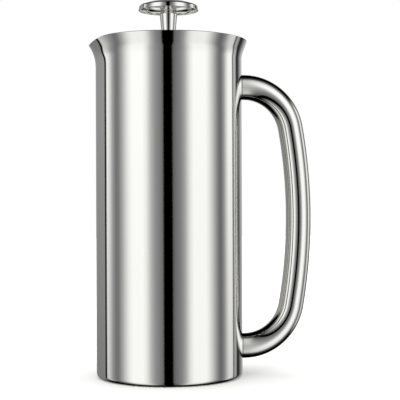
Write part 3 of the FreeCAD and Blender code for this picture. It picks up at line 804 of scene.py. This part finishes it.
# %% Build the knob
KNOB = edge("knob_disc", 1, X)
CROWN_TOP = edge("knob_disc", 1, Z)
CROWN_RISE, KNOB_EDGE, BAND, BAND_LEAN = 4.0, 1.7, 2.2, 0.5
LIP_WALL, HOLLOW, HOLLOW_BEND = 0.9, 3.0, 1.4
BOSS_DOME = 5.85
THREAD_DEPTH = 4.0
knob_low = CROWN_TOP - CROWN_RISE - KNOB_EDGE - BAND
boss_low = edge("knob_disc", 0, Z)
ceiling = knob_low + HOLLOW


def arc_radius(half_width, rise):
    """Radius of the arc that spans twice half_width and rises by rise."""
    return (half_width**2 + rise**2) / (2 * rise)


crown_edge = KNOB - BAND_LEAN - KNOB_EDGE
crown = arc_radius(crown_edge, CROWN_RISE)
crown_turn = math.degrees(math.asin(crown_edge / crown))
inner_lip = KNOB - LIP_WALL
boss_turn = math.degrees(math.asin((ceiling - boss_low) / BOSS_DOME))
knob_line = joined((0, boss_low + THREAD_DEPTH), (ROD, boss_low + THREAD_DEPTH), (ROD, boss_low),
                   arc((0, boss_low), BOSS_DOME, 0, boss_turn, 4),
                   arc((inner_lip - HOLLOW_BEND, ceiling - HOLLOW_BEND), HOLLOW_BEND, 90, 0, 10),
                   (inner_lip, knob_low), (KNOB, knob_low),
                   arc((crown_edge, knob_low + BAND), KNOB_EDGE, 0, 90, 8),
                   arc((0, CROWN_TOP - crown), crown, 90 - crown_turn, 90, 1.0))
knob_line = spaced(eased(knob_line, 0.3, closed=False), 1.5, closed=False)
knob = turned("knob_surface", knob_line, closed=False, count=224)
knob.data.materials.append(KNOB_STEEL)
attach(knob, "plunger")
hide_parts("knob_disc")

# %% [markdown]
# The neck is a tapered sleeve over the rod, wider at the top, where a chamfer leads to the boss.
# The rod itself is ground, so it gets fine rings and a slightly duller mirror, and at the bottom
# it is stepped down to carry the filter, with a few turns of thread showing under the nut.

# %% Build the neck and the rod
neck_low, neck_high = edge("knob_neck", 0, Z), edge("knob_neck", 1, Z)
NECK_TOP = edge("knob_neck", 1, X)
NECK_BOTTOM, NECK_CHAMFER, NECK_EASE = 4.7, 1.4, 0.5
neck_line = eased(joined((ROD, neck_low), (NECK_BOTTOM - NECK_EASE, neck_low),
                         (NECK_BOTTOM, neck_low + NECK_EASE),
                         (NECK_TOP, neck_high - NECK_CHAMFER), (BOSS_DOME, neck_high),
                         (ROD, neck_high)), 0.45)
neck = turned("neck_surface", spaced(neck_line, 1.5), count=128)
neck.data.materials.append(KNOB_STEEL)
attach(neck, "plunger")
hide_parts("knob_neck")

rod_low, rod_high = edge("plunger_rod", 0, Z), edge("plunger_rod", 1, Z)
TIP_CHAMFER = 0.5
THREAD_CUT, THREAD_TURNS, THREAD_LENGTH = 0.12, 3, 1.5
tip_top = edge("spring_plate", 1, Z)
thread_steps = np.linspace(0, 1, 25)
thread = np.column_stack([
    TIP - THREAD_CUT + THREAD_CUT * np.cos(2 * np.pi * THREAD_TURNS * thread_steps),
    rod_low + TIP_CHAMFER + THREAD_LENGTH * thread_steps])
rod_line = joined((0, rod_low), (TIP - TIP_CHAMFER, rod_low), thread, (TIP, tip_top),
                  (ROD, tip_top), (ROD, rod_high), (0, rod_high))
rod_line = spaced(eased(rod_line, 0.15, closed=False), 6.0, closed=False)
rod = turned("rod_surface", rod_line, closed=False, count=64)
rod.data.materials.append(ROD_STEEL)
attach(rod, "plunger")
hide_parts("plunger_rod")

# %% [markdown]
# ## Filter
#
# The filter is a sandwich on the rod's tip: a pressed plate whose rim carries a coiled spring, a
# woven screen whose edge is turned up outside that spring, and a plate full of holes that backs
# the screen. The two plates are simple stampings, so their CAD nodes stay. The spring is a real
# coil here: a small circle carried round a large one, and the wire is a still smaller circle
# carried along that line, square to it.

# %% Build the edge spring
dress("spring_plate", PLATE_STEEL)
dress("cross_plate", PLATE_STEEL)
ring_top, ring_low = edge("edge_spring", 1, Z), edge("edge_spring", 0, Z)
COIL = (ring_top - ring_low) / 2
SCREEN_SHEET = 0.3
RING = BORE - SCREEN_GAP - SCREEN_SHEET - COIL
WIRE, TURNS, PER_TURN, SIDES = 0.25, 150, 14, 6
along = np.linspace(0, 2 * np.pi, TURNS * PER_TURN, endpoint=False)
inner_turn = TURNS * along
small = COIL - WIRE
outwards = np.column_stack([np.cos(along), np.sin(along), 0 * along])
upright = np.array([0.0, 0.0, 1.0])
towards = np.cos(inner_turn)[:, None] * outwards + np.sin(inner_turn)[:, None] * upright
centre_line = RING * outwards + small * towards + (ring_low + COIL) * upright
tangent = np.roll(centre_line, -1, axis=0) - np.roll(centre_line, 1, axis=0)
tangent /= np.linalg.norm(tangent, axis=1, keepdims=True)
across = np.cross(tangent, towards)
across /= np.linalg.norm(across, axis=1, keepdims=True)
square = np.cross(across, tangent)
turn = np.linspace(0, 2 * np.pi, SIDES, endpoint=False)[None, :, None]
round_wire = np.cos(turn) * square[:, None] + np.sin(turn) * across[:, None]
spring_grid = centre_line[:, None] + WIRE * round_wire
spring = grid_piece("edge_spring_coil", spring_grid, wrap_rows=True, sharp=80)
spring.data.materials.append(SPRING_STEEL)
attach(spring, "plunger")
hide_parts("edge_spring")

# %% [markdown]
# The screen is woven from two sets of wires that pass over and under each other. Wire number i
# lies at i times the pitch, and its height swings as a cosine along its length, in the opposite
# sense from its neighbour's; the other set swings the other way at each crossing. All wires of a
# set are one array, and the quads whose ends lie outside the round edge are dropped. Short tubes
# that end at the edge would stay open, so the turned-up band covers their ends.

# %% Build the woven screen
screen_low, screen_top = edge("mesh_screen", 0, Z), edge("mesh_screen", 1, Z)
SCREEN = edge("mesh_screen", 1, X)
PITCH, SCREEN_WIRE, SWING = 1.3, 0.075, 0.07
reach = SCREEN - SCREEN_SHEET
count = int(reach / PITCH)
wire_at = PITCH * np.arange(-count, count + 1)
steps = np.arange(-2 * count - 1, 2 * count + 2)
corner_turn = np.radians([45.0, 135.0, 225.0, 315.0])


def wire_set(swing):
    """Grids (wire, step, corner) of the wires along Y: x = i pitch + w cos a,
    y = half a pitch per step, z = middle + swing cos(pi y / pitch) (-1)^i + w sin a."""
    shape = (len(wire_at), len(steps), 4)
    half_length = np.sqrt(reach**2 - wire_at**2)[:, None, None]
    y = np.clip(0.5 * PITCH * steps[None, :, None], -half_length, half_length)
    sense = np.where(np.arange(len(wire_at)) % 2 == 0, 1.0, -1.0)[:, None, None]
    z = screen_low + SCREEN_SHEET / 2 + swing * sense * np.cos(np.pi * y / PITCH)
    x = wire_at[:, None, None] + SCREEN_WIRE * np.cos(corner_turn)
    return (np.broadcast_to(x, shape), np.broadcast_to(y, shape),
            np.broadcast_to(z + SCREEN_WIRE * np.sin(corner_turn), shape))


def wire_quads(x, y, first):
    """Quads round each wire between one step and the next, without the ones that have no length,
    and an end cap where a wire stops."""
    wires, length, sides = x.shape
    number = first + np.arange(x.size).reshape(x.shape)
    here, there = number[:, :-1], number[:, 1:]
    quads = np.stack([here, np.roll(here, -1, axis=2), np.roll(there, -1, axis=2), there], axis=-1)
    real = (y[:, 1:, 0] - y[:, :-1, 0]) > 1e-6
    starts, ends = real.argmax(axis=1), length - 1 - real[:, ::-1].argmax(axis=1)
    which = np.arange(wires)
    caps = [number[which, starts][:, ::-1], number[which, ends]]
    return np.vstack([quads[real].reshape(-1, 4), *caps])


x, y, z = wire_set(SWING)
warp = np.stack([x, y, z], axis=-1).reshape(-1, 3)
x2, y2, z2 = wire_set(-SWING)
weft = np.stack([y2, -x2, z2], axis=-1).reshape(-1, 3)
screen = make_piece("woven_screen", np.vstack([warp, weft]),
                    [wire_quads(x, y, 0), wire_quads(x2, y2, len(warp))], sharp=100)
screen.data.materials.append(SCREEN_STEEL)
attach(screen, "plunger")
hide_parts("mesh_screen")

# %% [markdown]
# The band is the same cloth, folded up and pressed against the spring. Its weave is too fine for
# more tubes, so it is a thin ring with the weave as bump: two waves, one round the ring and one up
# it, multiplied. The angle round the axis comes from the arctangent of the Object coordinates.


# %% Build the screen's turned-up band
BAND_PITCH, BAND_FOOT = 0.6, 2.5


def woven_band_finish():
    """Two sine waves, one round the axis and one up it, multiplied: a bump of crossing wires."""
    cloth = Finish("pressed_screen_cloth").set(Base_Color=(0.68, 0.675, 0.66, 1), Metallic=1.0)
    split = cloth.add("ShaderNodeSeparateXYZ")
    cloth.link(cloth.place(), split.inputs[0])
    angle = cloth.add("ShaderNodeMath", operation="ARCTAN2")
    cloth.link(split.outputs["Y"], angle.inputs[0])
    cloth.link(split.outputs["X"], angle.inputs[1])
    waves = []
    for source, factor in ((angle.outputs[0], SCREEN * np.pi / BAND_PITCH),
                           (split.outputs["Z"], np.pi / BAND_PITCH)):
        scaled = cloth.add("ShaderNodeMath", operation="MULTIPLY")
        scaled.inputs[1].default_value = round(factor)
        wave = cloth.add("ShaderNodeMath", operation="SINE")
        cloth.link(source, scaled.inputs[0])
        cloth.link(scaled.outputs[0], wave.inputs[0])
        waves.append(wave.outputs[0])
    cross = cloth.add("ShaderNodeMath", operation="MULTIPLY")
    cloth.link(waves[0], cross.inputs[0])
    cloth.link(waves[1], cross.inputs[1])
    cloth.drift(cloth.noise(cloth.place(scale=(0.3,) * 3), detail=3.0), 0.22, 0.36, "Roughness")
    cloth.bump([cross.outputs[0]], [0.7], depth=0.12)
    return cloth.material


band_inner = SCREEN - SCREEN_SHEET
band_foot = band_inner - BAND_FOOT
band_line = eased(joined((band_foot, screen_low), (SCREEN, screen_low), (SCREEN, screen_top),
                         (band_inner, screen_top), (band_inner, screen_low + SCREEN_SHEET),
                         (band_foot, screen_low + SCREEN_SHEET)), 0.14)
band = turned("screen_band", spaced(band_line, 1.0), count=224)
band.data.materials.append(woven_band_finish())
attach(band, "plunger")
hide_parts("mesh_screen")

# %% [markdown]
# ## Studio
#
# A mirror is lit by what stands round it, so the studio is built as a sky: the brightness depends
# on the compass direction. Straight behind the viewer hangs a black drape, on either side of it
# stand two tall soft boxes with a grey gap between, and a grey wall closes the back. Each half of
# the room is a colour ramp from straight ahead (0 degrees) to straight behind (180 degrees), with
# grey levels as one would read them off a card. Two more ramps say how much of that is left when
# a ray looks up or down: the boxes in front reach nearly overhead and down to the table's edge,
# but behind the press there is only a strip of wall with black above and below. The drape is laid
# over them as an angle to either side, and it spreads where it runs out on the floor. Lamps and
# cloths of the same shapes would look the same with more noise.
#
# The whole studio is turned with the viewer, who stands a little round from square on, so that
# the handle leans away and the lip comes forward.

# %% Build the studio sky
TURN = math.radians(12.5)
LEFT_FRONT = ((0, 0.40), (8, 0.41), (20, 0.56), (26, 0.69), (34, 0.92), (40, 0.99), (57, 0.99),
              (64, 0.92), (70, 0.80), (76, 0.65), (84, 0.46), (90, 0.46), (97, 0.62), (103, 0.82),
              (108, 0.92), (112.3, 0.92), (114, 0.04), (117.5, 0.04))
LEFT_BACK = ((119.5, 0.57), (150, 0.55), (180, 0.66))
RIGHT_FRONT = ((0, 0.36), (8, 0.37), (20, 0.51), (26, 0.64), (34, 0.89), (40, 0.98), (60, 0.98),
               (65, 0.92), (71, 0.80), (77, 0.65), (84, 0.46), (90, 0.41), (97, 0.60), (103, 0.84),
               (109, 0.97), (118.5, 0.96), (120.5, 0.20), (121.5, 0.30))
RIGHT_BACK = ((125, 0.74), (130, 0.66), (133.5, 0.2), (141, 0.22), (150, 0.56), (162, 0.74),
              (180, 0.66))
UP_FRONT = ((-90, 0.04), (-78, 0.08), (-67, 0.5), (-57, 0.78), (-45, 0.88), (-35, 0.93),
            (-22, 0.98), (0, 1.0), (9, 1.02), (24, 1.04), (45, 0.90), (58, 0.76), (68, 0.50),
            (78, 0.25), (90, 0.04))
UP_BEHIND = ((-90, 0.02), (-34, 0.03), (-24, 0.8), (-9, 0.86), (4, 1.0), (22, 1.0), (32, 0.04),
             (90, 0.02))
LEVEL = 1.08
DRAPE, DRAPE_ON_FLOOR, DRAPE_EDGE = 6.9, 9.6, 0.9
DRAPE_FOLDS, DRAPE_LIES = -18.0, -36.0

scene = bpy.context.scene
world = bpy.data.worlds.new("studio")
scene.world = world
world.use_nodes = True
sky = world.node_tree
sky.nodes.clear()


def feed(socket, value):
    """Links a socket to the one given, or sets its own value."""
    if isinstance(value, bpy.types.NodeSocket):
        sky.links.new(value, socket)
    else:
        socket.default_value = value


def sky_node(kind, inputs=(), **settings):
    """Adds a node to the sky; inputs are links or values for its sockets in order."""
    node = sky.nodes.new(kind)
    for key, value in settings.items():
        setattr(node, key, value)
    for socket, value in zip(node.inputs, inputs):
        feed(socket, value)
    return node


def calc(operation, *inputs):
    return sky_node("ShaderNodeMath", inputs, operation=operation).outputs[0]


def grey_ramp(stops, low, high, degrees):
    """A colour ramp over a range of angles. Levels are display greys, so they are raised to 2.2 to
    become light."""
    share = calc("DIVIDE", calc("SUBTRACT", degrees, low), high - low)
    ramp = sky_node("ShaderNodeValToRGB", (share,))
    marks = ramp.color_ramp.elements
    for number, (angle, grey) in enumerate(stops):
        place = (angle - low) / (high - low)
        mark = marks[number] if number < 2 else marks.new(place)
        mark.position = place
        mark.color = [grey**2.2] * 3 + [1]
    return ramp.outputs["Color"]


def blend_colours(factor, first, second, how="MIX"):
    node = sky_node("ShaderNodeMix", data_type="RGBA", blend_type=how)
    for number, value in ((0, factor), (6, first), (7, second)):
        feed(node.inputs[number], value)
    return node.outputs[2]


turned_view = sky_node("ShaderNodeVectorRotate", rotation_type="Z_AXIS")
turned_view.inputs["Angle"].default_value = TURN
sky.links.new(sky_node("ShaderNodeTexCoord").outputs["Generated"], turned_view.inputs["Vector"])
direction = sky_node("ShaderNodeSeparateXYZ", (turned_view.outputs[0],))
to_degrees = math.degrees(1)
compass = calc("ARCTAN2", direction.outputs["X"], calc("MULTIPLY", direction.outputs["Y"], -1.0))
around_view = calc("MULTIPLY", calc("ABSOLUTE", compass), to_degrees)
on_right = calc("GREATER_THAN", compass, 0.0)
tilt = calc("MULTIPLY", calc("ARCSINE", direction.outputs["Z"]), to_degrees)
behind = sky_node("ShaderNodeMapRange", (direction.outputs["Y"], -0.1, 0.2),
                  interpolation_type="SMOOTHSTEP")

room = blend_colours(on_right, grey_ramp(LEFT_FRONT + LEFT_BACK, 0, 180, around_view),
                     grey_ramp(RIGHT_FRONT + RIGHT_BACK, 0, 180, around_view))
reach = blend_colours(behind.outputs[0], grey_ramp(UP_FRONT, -90, 90, tilt),
                      grey_ramp(UP_BEHIND, -90, 90, tilt))
room = blend_colours(1.0, room, reach, "MULTIPLY")
drape = sky_node("ShaderNodeMapRange", (tilt, DRAPE_LIES, DRAPE_FOLDS, DRAPE_ON_FLOOR, DRAPE))
drape_end = calc("ADD", drape.outputs[0], DRAPE_EDGE)
beside = sky_node("ShaderNodeMapRange", (around_view, drape.outputs[0], drape_end))
room = blend_colours(1.0, room, beside.outputs[0], "MULTIPLY")
rays = sky_node("ShaderNodeLightPath")
mirrored = sky_node("ShaderNodeBackground", (room, LEVEL)).outputs[0]
open_light = sky_node("ShaderNodeBackground", ((1.0, 1.0, 0.985, 1.0), 1.6)).outputs[0]
seen = sky_node("ShaderNodeBackground", ((1.0, 1.0, 1.0, 1.0), 1.0)).outputs[0]
lit = sky_node("ShaderNodeMixShader", (rays.outputs["Is Diffuse Ray"], mirrored, open_light))
final = sky_node("ShaderNodeMixShader", (rays.outputs["Is Camera Ray"], lit.outputs[0], seen))
sky_node("ShaderNodeOutputWorld", (final.outputs[0],))
print("studio sky:", len(LEFT_FRONT), "marks in front,", len(sky.nodes), "nodes")

# %% [markdown]
# ## Table
#
# The press stands on a plain pale table. It catches the soft shadow round the foot. It is not
# mirrored in the steel, because the sky already holds the table's grey for rays that look down.

# %% Build the table
half = 3.0
table_mesh = bpy.data.meshes.new("table")
table_mesh.from_pydata([(-half, -half, 0), (half, -half, 0), (half, half, 0), (-half, half, 0)], [],
                       [(0, 1, 2, 3)])
table = bpy.data.objects.new("table", table_mesh)
scene.collection.objects.link(table)
table_paint = Finish("matt_white_table").set(Base_Color=(0.93, 0.93, 0.93, 1), Roughness=0.9,
                                             Specular_IOR_Level=0.0)
table.data.materials.append(table_paint.material)
table.visible_glossy = False

# %% [markdown]
# ## Camera
#
# The view is level, a long lens on a tripod at half the pot's height, turned with the studio, and
# a little to the handle's side so that pot and handle sit together in a square frame. The tripod
# head isn't quite true, so the pot leans slightly.

# %% Place the camera
LENS, SENSOR = 100.0, 36.0
ASIDE, AWAY, EYE = 0.0229, 0.825, 0.1303
LEAN = math.radians(0.22)
CAMERA_AT = (ASIDE * math.cos(TURN) - AWAY * math.sin(TURN),
             -AWAY * math.cos(TURN) - ASIDE * math.sin(TURN), EYE)
camera_data = bpy.data.cameras.new("camera")
camera_data.lens = LENS
camera_data.sensor_width = SENSOR
camera_data.sensor_fit = "HORIZONTAL"
camera_data.clip_start = 0.01
camera = bpy.data.objects.new("camera", camera_data)
camera.location = CAMERA_AT
camera.rotation_euler = (math.pi / 2, LEAN, -TURN)
scene.collection.objects.link(camera)
scene.camera = camera
scene.view_settings.view_transform = "Standard"
scene.view_settings.look = "None"
print("camera at", [round(v, 4) for v in CAMERA_AT], "metres, lens", LENS, "mm")
